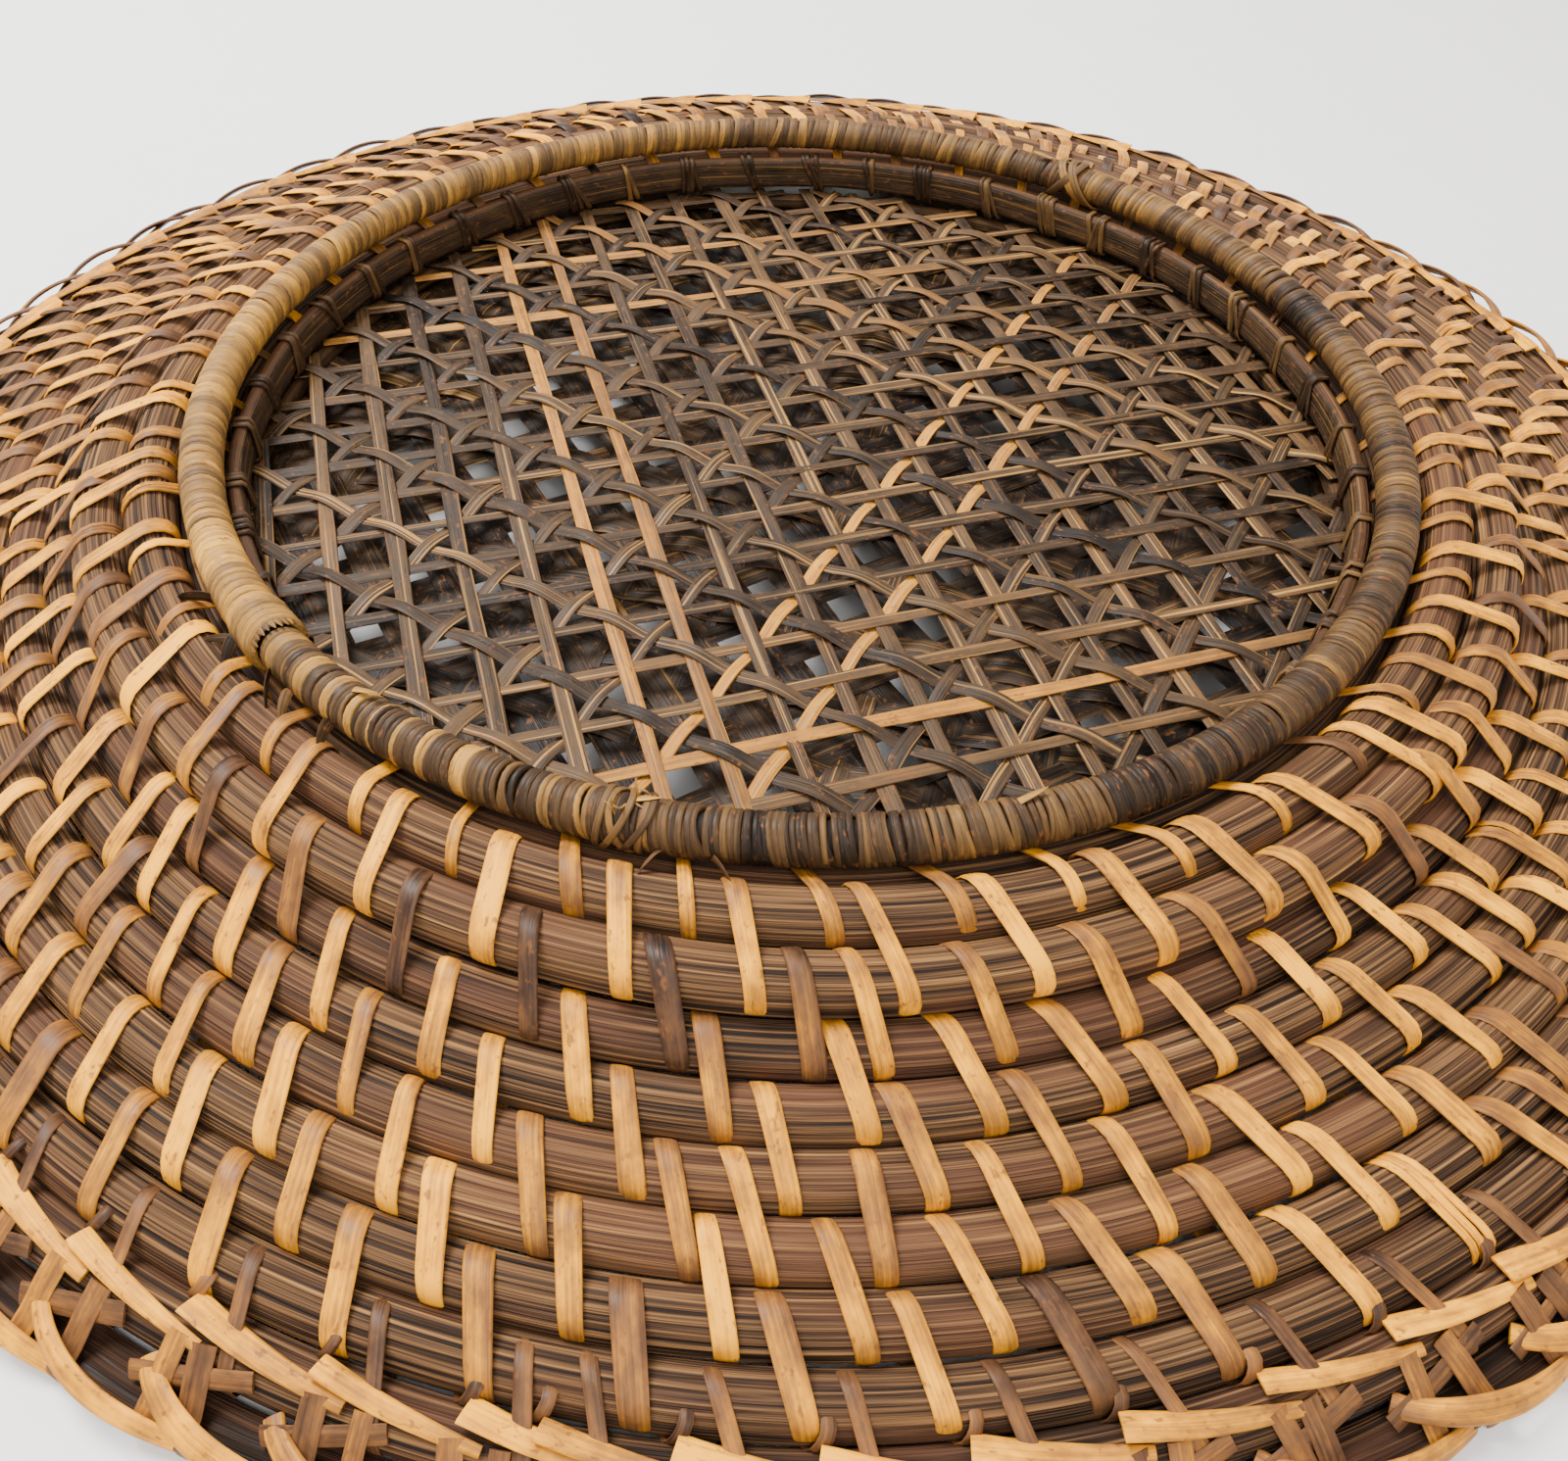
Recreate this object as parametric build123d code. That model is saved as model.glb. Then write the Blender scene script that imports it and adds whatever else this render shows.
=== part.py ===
from build123d import *
from math import atan2, ceil, cos, degrees, pi, radians, sin, sqrt
import os

# A shallow wide-brimmed basket of coiled rattan, lying upside down on its rim.
# Z = 0 is the surface it lies on, and the foot ring is on top.

# Driving dimensions, in millimetres and degrees
ring_radius = 125.0  # foot ring, to the middle of its core
ring_core_d = 6.6
ring_wrap_t = 1.1  # fine cane wound round the core
ring_wrap_turns = 72  # bundles of turns round the ring
end_tie_t = 0.4  # thicker turns over the wrap
end_tie_span = 5.0  # degrees of the ring under one end tie
end_tie_places = (-135.0, -101.0, 55.0)  # degrees round the ring

foot_rod_d = 9.0  # the three rods nearest the foot
brim_rod_d = 8.0  # the rods of the brim
first_row_out = 2.5  # row 0 is this much wider than the foot ring
coil_slopes = (35, -13, -40, -20, -17, -16, -15, -15, -15)  # from each row to the next
foot_rows = 3

fit = 0.1  # clearance between a wrapped cane and what it goes round
cane_t = 0.5  # stitch cane
cane_w = 4.3
stitch_pitch = 18.5  # along the rods
stitch_lean = 6.0  # along the rods, from a stitch's head to its foot
stitch_gap = 1.5  # least gap between two stitches on one rod
head_after = 1.2  # a stitch's head stands this much further than that from the foot before it
doubled_phase = 0.62  # turns the places of the extra stitches from one pair of rods to the next

slat_t = 3.2  # hoops of the base, across
slat_h = 8.0  # hoop above the base panel
spacer_h = 3.5
floor_hoop_h = 3.0
tie_count = 44
tie_w = 3.0

strand_t = 0.5  # cane of the woven panels
strand_w = 3.2
strand_pitch = 12.7
panel_turn = 18.4  # base panel, turned about Z
panel_shift = (-2.4, 1.8)  # of its strands from the middle
floor_turn = 31.0
floor_shift = (3.0, -4.0)

edge_w = 5.0  # hoop along the border's edge
edge_h = 3.5
edge_gap = 2.0  # between the rim stitches and the edge hoop
edge_strips = 33
edge_strip_lift = 0.4  # the strips stop short of the surface
border_strand_w = 4.0
border_strand_run = 13.0  # along the rim, over a border strand's length

ring_tube_r = ring_core_d / 2 + ring_wrap_t
rod_gap = 2 * (cane_t + fit) + fit  # two canes pass between neighbouring rods
head_room = cane_w + stitch_gap
head_step = head_room + head_after


def ring_solid(face):
    """The whole hoop that a section in the XZ plane makes."""
    return Solid.revolve(face, 360, Axis.Z)


def section_box(r_in, r_out, z_low, z_high):
    """A rectangular hoop section, in the XZ plane."""
    middle = Pos((r_in + r_out) / 2, (z_low + z_high) / 2)
    return Plane.XZ * middle * Rectangle(r_out - r_in, z_high - z_low)


def section_circle(r, z, radius):
    """A round hoop section, in the XZ plane."""
    return Plane.XZ * Pos(r, z) * Circle(radius)


def band(face, span, start=0.0):
    """The part of a hoop that covers span degrees, from start degrees."""
    return Rot(0, 0, start) * Solid.revolve(face, span, Axis.Z)


def coil_rows():
    """Each rod's (radius of its hoop, height, radius of its section), from row 0 to the rim.

    Heights are from the middle of the foot ring. Row 0 is low enough for the stitches that
    join it to row 1 to clear the ties on the foot ring.
    """
    clear = ring_tube_r + end_tie_t + fit + cane_t + fit + foot_rod_d / 2
    first_slope = radians(coil_slopes[0])
    drop = (clear - first_row_out * sin(first_slope)) / cos(first_slope)
    rows = [(ring_radius + first_row_out, -drop, foot_rod_d / 2)]
    for number, slope in enumerate(coil_slopes, start=1):
        section = foot_rod_d / 2 if number < foot_rows else brim_rod_d / 2
        r, z, last = rows[-1]
        step = last + section + rod_gap
        rows.append((r + step * cos(radians(slope)), z + step * sin(radians(slope)), section))
    return rows


rows_from_ring = coil_rows()
# The rim stitches clear the surface by the cane's thickness and the edge hoop rests on it.
ring_z = -(rows_from_ring[-1][1] - brim_rod_d / 2 - fit - 2 * cane_t)
rows = [(r, z + ring_z, section) for r, z, section in rows_from_ring]
rim_r, rim_z, rim_section = rows[-1]


def save(name, shape):
    export_step(shape, f"parts/{name}.step")


def stitch_angles():
    """Angles of the stitches of each pair of rods, in radians, at the middle of the stitch.

    A stitch's head comes just after the foot of the stitch before it on the rod they share.
    Each pair of rods is longer than the last, so a few gaps, spaced round it, get two heads.
    """
    lengths = [pi * (inner[0] + outer[0]) for inner, outer in zip(rows, rows[1:])]
    wanted = [round(length / stitch_pitch) for length in lengths]
    pairs = [[2 * pi * number / wanted[0] for number in range(wanted[0])]]
    for shared, count in zip(rows[1:-1], wanted[1:]):
        room, step = head_room / shared[0], head_step / shared[0]
        quarter = stitch_lean / 4 / shared[0]
        feet = [angle + quarter for angle in pairs[-1]]
        feet.append(feet[0] + 2 * pi)
        gaps, extra = len(pairs[-1]), count - len(pairs[-1])
        phase = doubled_phase * len(pairs)
        doubled = [int((number + phase) * gaps / extra) % gaps for number in range(extra)]
        heads = []
        for number, (foot, following) in enumerate(zip(feet, feet[1:])):
            low, high = foot + room, following - room
            if number in doubled:
                heads.append([low, low, high - room])
                heads.append([high, low + room, high])
            else:
                heads.append([min(foot + step, high), low, high])
        for _ in range(20):
            spread_out(heads)
        pairs.append([head + quarter for head, low, high in heads])
    return pairs


def spread_out(heads):
    """Moves each head a little towards the middle of its neighbours, within its own limits."""
    places = [head[0] for head in heads]
    for number, head in enumerate(heads):
        before = places[number - 1] - (2 * pi if number == 0 else 0)
        after = places[(number + 1) % len(heads)] + (2 * pi if number == len(heads) - 1 else 0)
        target = head[0] + 0.15 * ((before + after) / 2 - head[0])
        head[0] = min(max(target, head[1]), head[2])


def hull_face(inner, outer, grow):
    """The outline round two rod sections, grown outwards, in the XZ plane."""
    (r1, z1, s1), (r2, z2, s2) = inner, outer
    circles = Sketch() + [Pos(r1, z1) * Circle(s1 + grow), Pos(r2, z2) * Circle(s2 + grow)]
    return Plane.XZ * make_hull(circles.edges())


def stitch(inner, outer):
    """One flat cane loop round two rods, leaning along them, centred on the XZ plane."""
    middle_r = (inner[0] + outer[0]) / 2
    reach = outer[0] - inner[0] + inner[2] + outer[2]
    lean = degrees(atan2(stitch_lean, reach))
    half_span = degrees((stitch_lean / 2 + cane_w) / inner[0])
    ring_face = hull_face(inner, outer, fit + cane_t) - hull_face(inner, outer, fit)
    loop = band(ring_face.face(), 2 * half_span, -half_span)
    slab = Pos(middle_r, 0, (inner[1] + outer[1]) / 2) * Rot(0, 0, lean) * Box(2 * reach, cane_w, 4 * reach)
    return (loop & slab).solid()


def woven_layer(turn, shift, pitch, z_low, radius):
    """Parallel strands across the panel, each as long as its chord inside the radius."""
    lines = ceil(radius / pitch)
    strands = []
    for number in range(-lines, lines + 1):
        offset = number * pitch + shift
        far_edge = abs(offset) + strand_w / 2
        if far_edge < radius - strand_w:
            length = 2 * sqrt(radius**2 - far_edge**2)
            strand = Pos(0, offset, z_low + strand_t / 2) * Box(length, strand_w, strand_t)
            strands.append(Rot(0, 0, turn) * strand)
    return Compound(children=strands)


def woven_panel(name, turn, shift, z_top, radius):
    """Four layers of cane: two square to each other, and two diagonal through their crossings.

    The first diagonals take every other crossing, and the second take the rest, so that half
    of the square holes stay open.
    """
    across, along = shift
    diagonal_pitch = strand_pitch * sqrt(2)
    layers = (
        ("first_diagonal_strands", turn + 135, (across + along) / -sqrt(2), diagonal_pitch),
        ("upright_strands", turn + 90, -across, strand_pitch),
        ("cross_strands", turn, along, strand_pitch),
        ("second_diagonal_strands", turn + 45, (along - across + strand_pitch) / sqrt(2), diagonal_pitch),
    )
    for level, (layer, angle, offset, pitch) in enumerate(layers, start=1):
        z_low = z_top - level * strand_t
        save(f"{name}_{layer}", woven_layer(angle, offset, pitch, z_low, radius))


def foot_ring():
    core = ring_solid(section_circle(ring_radius, ring_z, ring_core_d / 2 - fit / 2).face())
    save("foot_ring_core", core)
    wrap_face = section_circle(ring_radius, ring_z, ring_tube_r) - section_circle(
        ring_radius, ring_z, ring_core_d / 2
    )
    turn = 360 / ring_wrap_turns
    one = band(wrap_face.face(), 0.94 * turn)
    save("foot_ring_wrap", Compound(children=[Rot(0, 0, n * turn) * one for n in range(ring_wrap_turns)]))
    tie_face = section_circle(ring_radius, ring_z, ring_tube_r + end_tie_t) - section_circle(
        ring_radius, ring_z, ring_tube_r + fit / 2
    )
    ties = [band(tie_face.face(), end_tie_span, place - end_tie_span / 2) for place in end_tie_places]
    save("foot_ring_end_ties", Compound(children=ties))


def base():
    """The hoops that hold both woven panels, from the foot ring down, and the panels.

    The slat hoop's ties clear the ties on the foot ring.
    """
    outer = rows[0][0] - rows[0][2] - 2 * fit - 2 * cane_t - fit
    inner = outer - slat_t
    grow = fit + cane_t
    clear = ring_tube_r + end_tie_t + fit
    inward = ring_radius - outer - grow
    slat_top = ring_z - grow - sqrt(max(clear**2 - inward**2, 0))
    slat_bottom = slat_top - slat_h
    save("base_slat_hoop", ring_solid(section_box(inner, outer, slat_bottom, slat_top).face()))
    tie_face = section_box(inner - grow, outer + grow, slat_bottom - grow, slat_top + grow) - section_box(
        inner - fit, outer + fit, slat_bottom - fit, slat_top + fit
    )
    span = degrees(tie_w / outer)
    tie = band(tie_face.face(), span)
    turns = [n * 360 / tie_count for n in range(tie_count)]
    save("base_slat_ties", Compound(children=[Rot(0, 0, turn) * tie for turn in turns]))

    panel_top = slat_bottom - grow - fit
    woven_panel("base_panel", panel_turn, panel_shift, panel_top, outer)
    spacer_top = panel_top - 4 * strand_t
    spacer_bottom = spacer_top - spacer_h
    save("base_spacer_hoop", ring_solid(section_box(inner, outer, spacer_bottom, spacer_top).face()))
    woven_panel("floor_panel", floor_turn, floor_shift, spacer_bottom, outer)
    hoop_top = spacer_bottom - 4 * strand_t
    hoop_face = section_box(inner, outer, hoop_top - floor_hoop_h, hoop_top).face()
    save("floor_hoop", ring_solid(hoop_face))


def coil():
    for number, (r, z, section) in enumerate(rows[:-1]):
        save(f"coil_rod_{number}", ring_solid(section_circle(r, z, section).face()))
    save("rim_rod", ring_solid(section_circle(rim_r, rim_z, rim_section).face()))
    for number, angles in enumerate(stitch_angles()):
        one = stitch(rows[number], rows[number + 1])
        outer_name = "rim" if number == len(rows) - 2 else str(number + 1)
        loops = [Rot(0, 0, degrees(angle)) * one for angle in angles]
        save(f"stitches_{number}_to_{outer_name}", Compound(children=loops))


def border():
    """The edge hoop, a strand from the foot of each rim stitch to it, and the strips round it."""
    inner = rim_r + rim_section + fit + cane_t + edge_gap
    outer = inner + edge_w
    save("border_edge_hoop", ring_solid(section_box(inner, outer, 0, edge_h).face()))

    start_r = rim_r + rim_section
    start_z = rim_z + rim_section + fit + cane_t
    end_r = inner + edge_w / 2
    run = sqrt((end_r - start_r) ** 2 + border_strand_run**2)
    fall = start_z - edge_h
    slope = degrees(atan2(fall, run))
    heading = degrees(atan2(border_strand_run, end_r - start_r))
    place = Pos((start_r + end_r) / 2, 0, (start_z + edge_h) / 2 + cane_t)
    strand = place * Rot(0, 0, heading) * Rot(0, slope, 0) * Box(run, border_strand_w, cane_t)
    after_stitch = (stitch_lean + border_strand_run) / 2 / rim_r
    turns = [degrees(angle + after_stitch) for angle in stitch_angles()[-1]]
    save("border_strands", Compound(children=[Rot(0, 0, turn) * strand for turn in turns]))

    strips = []
    for number in range(edge_strips):
        level = outer + fit + (number % 3) * (cane_t + fit)
        face = section_box(level, level + cane_t, edge_strip_lift, edge_h).face()
        strips.append(band(face, 1.3 * 360 / edge_strips, number * 360 / edge_strips))
    save("border_edge_strips", Compound(children=strips))


os.makedirs("parts", exist_ok=True)
foot_ring()
base()
coil()
border()
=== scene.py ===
from math import atan2, cos, hypot, pi, radians, sin, sqrt

import bpy
import numpy as np
from mathutils import Matrix, Vector


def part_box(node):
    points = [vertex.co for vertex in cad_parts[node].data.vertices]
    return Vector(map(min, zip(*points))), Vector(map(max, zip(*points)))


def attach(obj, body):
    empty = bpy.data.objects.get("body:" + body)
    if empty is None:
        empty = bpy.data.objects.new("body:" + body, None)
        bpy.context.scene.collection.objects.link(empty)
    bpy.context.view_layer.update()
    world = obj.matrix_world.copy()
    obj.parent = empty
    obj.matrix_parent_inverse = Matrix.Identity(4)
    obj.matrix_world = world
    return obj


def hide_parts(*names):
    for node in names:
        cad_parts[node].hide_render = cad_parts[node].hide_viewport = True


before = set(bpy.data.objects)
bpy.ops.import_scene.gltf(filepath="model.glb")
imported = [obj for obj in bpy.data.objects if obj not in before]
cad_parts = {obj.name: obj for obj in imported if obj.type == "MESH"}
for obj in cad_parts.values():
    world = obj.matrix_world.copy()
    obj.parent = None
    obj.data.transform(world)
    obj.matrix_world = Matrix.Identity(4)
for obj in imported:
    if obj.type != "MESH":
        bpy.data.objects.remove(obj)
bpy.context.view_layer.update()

# A coiled rattan basket lying on its rim, foot ring up. Metres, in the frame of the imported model.

MM = 0.001
TURN = 2 * pi


def hoop_of(node):
    """A round hoop's (radius, height, radius of its section), from its node's box."""
    low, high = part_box(node)
    section = (high.z - low.z) / 2
    return high.x - section, (low.z + high.z) / 2, section


def islands(node):
    """The middle of each separate solid in a node, in order round the Z axis."""
    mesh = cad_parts[node].data
    points = np.empty(len(mesh.vertices) * 3)
    mesh.vertices.foreach_get("co", points)
    points = points.reshape(-1, 3)
    _, same = np.unique(np.round(points, 6), axis=0, return_inverse=True)
    same = same.ravel()
    edges = np.empty(len(mesh.edges) * 2, int)
    mesh.edges.foreach_get("vertices", edges)
    pairs = same[edges.reshape(-1, 2)]
    label = np.arange(same.max() + 1)
    while True:
        lowest = label.copy()
        np.minimum.at(lowest, pairs[:, 0], label[pairs[:, 1]])
        np.minimum.at(lowest, pairs[:, 1], label[pairs[:, 0]])
        lowest = lowest[lowest]
        if np.array_equal(lowest, label):
            break
        label = lowest
    groups = label[same]
    middles = []
    for group in np.unique(groups):
        own = points[groups == group]
        middles.append((own.min(0) + own.max(0)) / 2)
    middles.sort(key=lambda p: atan2(p[1], p[0]) % TURN)
    return middles


RING_R, RING_Z = hoop_of("foot_ring_core")[:2]
WRAP_R = hoop_of("foot_ring_wrap")[2]
ROD_NODES = [f"coil_rod_{number}" for number in range(9)] + ["rim_rod"]
RODS = [hoop_of(node) for node in ROD_NODES]
RIM_PAIR = len(RODS) - 2  # the number of the stitches that join the last coil rod to the rim rod


# Meshes: everything is a strip or a tube swept along a path

class Weave:
    """Collects swept strips and tubes into one mesh, with the attributes that the materials read.

    grain holds metres along and across each strip, shade holds its tone, a random number and
    how near the point is to the strip's edge.
    """

    def __init__(self):
        self.points, self.faces, self.grain, self.shade = [], [], [], []
        self.count = 0

    def sweep(self, path, up, outline, tone=0.5, seed=0.0, closed=False, third=None):
        """One strip that faces up. outline is (m, 2) or (n, m, 2): across and up at the path's n points.

        tone is a number or a few numbers spread along the strip, and third takes the edge's place.
        """
        stations, sides = len(path), outline.shape[-2]
        across, up = frames(path, up, closed)
        outline = np.broadcast_to(outline, (stations, sides, 2))
        solid = path[:, None] + outline[..., :1] * across[:, None] + outline[..., 1:] * up[:, None]
        if third is None:
            third = np.abs(outline[..., 0]) / np.abs(outline[..., 0]).max()
        along = np.concatenate([[0.0], np.cumsum(np.linalg.norm(np.roll(path, -1, 0) - path, axis=1))])
        tone = np.interp(along, np.linspace(0, along[-1], np.size(tone)), np.atleast_1d(tone))
        last = stations if closed else stations - 1
        i, j = (grid.ravel() for grid in np.meshgrid(np.arange(last), np.arange(sides), indexing="ij"))
        rows, columns = np.stack([i, i + 1, i + 1, i], 1), np.stack([j, j, j + 1, j + 1], 1) % sides
        if not closed:
            k = np.arange(sides // 2 - 1)
            lid = np.stack([k, k + 1, sides - 2 - k, sides - 1 - k], 1)
            rows = np.concatenate([rows, np.zeros_like(lid), np.full_like(lid, last)])
            columns = np.concatenate([columns, lid, lid[:, ::-1]])
        at = rows % stations
        x, y = outline[at, columns].transpose(2, 0, 1)
        self.points.append(solid.reshape(-1, 3))
        self.faces.append(self.count + at * sides + columns)
        self.grain.append(np.stack([along[rows], x, y], -1).reshape(-1, 3))
        flat = np.ones(rows.shape)
        shade = np.stack([tone[rows], seed * flat, third[at, columns], flat], -1)
        self.shade.append(shade.reshape(-1, 4))
        self.count += stations * sides

    def build(self, name, material, sharp=60.0):
        """The finished object, riding on the part's one body."""
        points, faces = np.concatenate(self.points), np.concatenate(self.faces)
        mesh = bpy.data.meshes.new(name)
        mesh.vertices.add(len(points))
        mesh.vertices.foreach_set("co", points.astype(np.float32).ravel())
        mesh.loops.add(faces.size)
        mesh.loops.foreach_set("vertex_index", faces.astype(np.int32).ravel())
        mesh.polygons.add(len(faces))
        mesh.polygons.foreach_set("loop_start", np.arange(0, faces.size, 4, dtype=np.int32))
        mesh.polygons.foreach_set("use_smooth", np.ones(len(faces), bool))
        mesh.update(calc_edges=True)
        grain = mesh.attributes.new("grain", "FLOAT_VECTOR", "CORNER")
        grain.data.foreach_set("vector", np.concatenate(self.grain).astype(np.float32).ravel())
        shade = mesh.attributes.new("shade", "FLOAT_COLOR", "CORNER")
        shade.data.foreach_set("color", np.concatenate(self.shade).astype(np.float32).ravel())
        mesh.set_sharp_from_angle(angle=radians(sharp))
        mesh.materials.append(material)
        made = bpy.data.objects.new(name, mesh)
        bpy.context.scene.collection.objects.link(made)
        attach(made, "root")
        return made


def unit(vectors):
    return vectors / np.linalg.norm(vectors, axis=-1, keepdims=True)


def frames(path, up, closed=False):
    """across and up vectors of a strip that follows path and faces up."""
    if closed:
        ahead = np.roll(path, -1, 0) - np.roll(path, 1, 0)
    else:
        ahead = np.gradient(path, axis=0)
    across = unit(np.cross(up, ahead))
    return across, unit(np.cross(ahead, across))


def round_point(r, angle, z):
    """Points at a radius, an angle and a height."""
    return np.stack([r * np.cos(angle), r * np.sin(angle), z + 0 * angle], -1)


def flat_outline(width, thick, crown=0.0, points=7):
    """A flat strip's section: a crowned top, rounded edges and a bottom that follows it."""
    x = np.sin(np.linspace(-pi / 2, pi / 2, points))
    bulge = crown * (1 - x**2)
    edge = np.sqrt(np.maximum(1 - x**6, 0)) * 0.8 + 0.2
    top = np.stack([x * width / 2, bulge + thick / 2 * edge], 1)
    bottom = np.stack([x * width / 2, bulge - thick / 2 * edge], 1)[::-1]
    return np.concatenate([top, bottom])


# Materials: every colour runs along the strips, from the grain and shade attributes

def rgb(red, green, blue):
    """A colour given as screen values, as linear light."""
    shares = [value / 255 for value in (red, green, blue)]
    linear = [((c + 0.055) / 1.055) ** 2.4 if c > 0.04045 else c / 12.92 for c in shares]
    return (*linear, 1)


class Finish:
    """A material's nodes, made by short calls."""

    def __init__(self, name):
        self.material = bpy.data.materials.new(name)
        self.material.use_nodes = True
        self.tree = self.material.node_tree
        self.tree.nodes.clear()

    def node(self, kind, inputs=None, **settings):
        made = self.tree.nodes.new("ShaderNode" + kind)
        for key, value in settings.items():
            setattr(made, key, value)
        for key, value in (inputs or {}).items():
            if isinstance(value, bpy.types.NodeSocket):
                self.tree.links.new(value, made.inputs[key])
            else:
                made.inputs[key].default_value = value
        return made

    def math(self, operation, a, b=0.0, c=0.0):
        return self.node("Math", {0: a, 1: b, 2: c}, operation=operation).outputs[0]

    def remap(self, value, low, high, to_low=0.0, to_high=1.0):
        inputs = {0: value, 1: low, 2: high, 3: to_low, 4: to_high}
        return self.node("MapRange", inputs, interpolation_type="SMOOTHSTEP").outputs[0]

    def grain(self):
        """Metres along and across the strip, moved by the strip's own random number."""
        place = self.node("Attribute", attribute_name="grain").outputs["Vector"]
        self.tone, self.seed, self.edge = self.node(
            "SeparateColor", {0: self.node("Attribute", attribute_name="shade").outputs["Color"]}
        ).outputs
        far = (31.0, 17.0, 23.0)
        jump = self.node("VectorMath", {0: far, 3: self.seed}, operation="SCALE").outputs[0]
        self.place = self.node("VectorMath", {0: place, 1: jump}, operation="ADD").outputs[0]
        return self.place

    def streaks(self, along, across, detail=2.0, rough=0.5):
        """Noise drawn out along the strip: features per metre along it and across it."""
        scales = (along, across, across)
        drawn = self.node("VectorMath", {0: self.place, 1: scales}, operation="MULTIPLY")
        inputs = {"Vector": drawn.outputs[0], "Scale": 1.0, "Detail": detail, "Roughness": rough}
        return self.node("TexNoise", inputs).outputs[0]

    def ramp(self, value, stops):
        made = self.node("ValToRGB", {0: value})
        points = made.color_ramp.elements
        while len(points) < len(stops):
            points.new(0.5)
        for point, (position, colour) in zip(points, stops):
            point.position, point.color = position, colour
        return made.outputs[0]

    def mix(self, share, first, second, blend="MIX"):
        made = self.node("Mix", {0: share, 6: first, 7: second}, data_type="RGBA", blend_type=blend)
        return made.outputs[2]

    def surface(self, colour, rough, height, depth, **fixed):
        bump = self.node("Bump", {"Height": height, "Distance": depth, "Strength": 1.0})
        inputs = {"Base Color": colour, "Roughness": rough, "Normal": bump.outputs[0]}
        inputs.update({key.replace("_", " "): value for key, value in fixed.items()})
        shader = self.node("BsdfPrincipled", inputs)
        self.node("OutputMaterial", {0: shader.outputs[0]})
        return self.material


def rod_finish():
    """Rattan core: brown, with crisp tan fibres along it; its grooves are darkened to near-black by their
    depth, as painted shade.
    """
    f = Finish("rattan_rod")
    f.grain()
    coarse = f.remap(f.streaks(9.0, 1000.0, 3.0, 0.65), 0.34, 0.66)
    fine = f.remap(f.streaks(26.0, 2600.0, 2.0, 0.6), 0.34, 0.66)
    patches = f.streaks(16.0, 90.0, 3.0)
    lines = f.math("MULTIPLY_ADD", fine, 0.4, f.math("MULTIPLY", coarse, 0.38))
    # edge holds each point's groove depth here: darkening by it is painted shade in the grooves
    value = f.math("MULTIPLY_ADD", f.tone, 0.6, f.math("MULTIPLY_ADD", f.edge, -0.5, lines))
    value = f.math("ADD", value, 0.06)
    wood = f.ramp(value, ROD_STOPS)
    colour = f.mix(f.remap(patches, 0.46, 0.66, 0.0, 0.4), wood, rgb(104, 66, 46))
    rough = f.remap(fine, 0.2, 0.8, 0.5, 0.75)
    return f.surface(colour, rough, lines, 0.0004, Specular_IOR_Level=0.12)


def cane_finish(name, stops, mottle, rough_from, line_depth, pale=0.0):
    """Flat cane with a skin: tone picks its colour, with mottles, fine lines and edges darkened as
    painted shade.

    pale is how strongly light fibres show along it.
    """
    f = Finish(name)
    f.grain()
    lines = f.streaks(45.0, 1900.0, 2.0, 0.6)
    clouds = f.streaks(170.0, 320.0, 3.0, 0.6)
    spots = f.streaks(420.0, 700.0, 2.0, 0.7)
    value = f.math("ADD", f.tone, f.math("MULTIPLY_ADD", lines, 0.5, -0.25))
    value = f.math("ADD", value, f.math("MULTIPLY_ADD", clouds, mottle, -mottle / 2))
    colour = f.ramp(value, stops)
    if pale:
        fibres = f.remap(f.streaks(8.0, 1250.0, 2.0, 0.55), 0.58, 0.66, 0.0, pale)
        shown = f.math("MULTIPLY", fibres, f.remap(f.tone, 0.05, 0.3, 0.12, 1.0))
        colour = f.mix(shown, colour, rgb(176, 130, 66))
    stain = f.remap(spots, 0.58, 0.72, 0.0, 0.75)
    colour = f.mix(stain, colour, rgb(112, 68, 34))
    # painted shade: the strip's edges are darkened, for the thin shadow along them
    rim = f.remap(f.edge, 0.85, 1.0, 0.0, 0.35)
    colour = f.mix(rim, colour, rgb(96, 58, 30))
    rough = f.remap(clouds, 0.2, 0.8, rough_from, rough_from + 0.25)
    height = f.math("MULTIPLY_ADD", lines, 1.0, f.math("MULTIPLY", spots, 0.4))
    return f.surface(colour, rough, height, line_depth, Specular_IOR_Level=0.2)


ROD_STOPS = [
    (0.0, rgb(30, 20, 13)), (0.2, rgb(60, 41, 27)), (0.42, rgb(92, 65, 41)),
    (0.62, rgb(120, 85, 52)), (0.82, rgb(148, 107, 60)), (1.0, rgb(190, 140, 74)),
]
GOLD = [
    (0.0, rgb(26, 17, 12)), (0.2, rgb(58, 38, 25)), (0.4, rgb(93, 61, 35)), (0.55, rgb(125, 80, 38)),
    (0.7, rgb(164, 107, 28)), (0.85, rgb(212, 139, 12)), (1.0, rgb(250, 170, 16)),
]


# Rods

def squeeze(index, around):
    """How far a rod swells towards the rods beside it, so that they close up on each other."""
    r, z, section = RODS[index]
    grown = np.zeros_like(around)
    for other in (index - 1, index + 1):
        if 0 <= other < len(RODS):
            other_r, other_z, other_section = RODS[other]
            spare = (hypot(other_r - r, other_z - z) - section - other_section) / 2
            facing = np.cos(around - atan2(other_z - z, other_r - r))
            grown += spare * np.clip(facing, 0, 1) ** 4
    return grown


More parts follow.
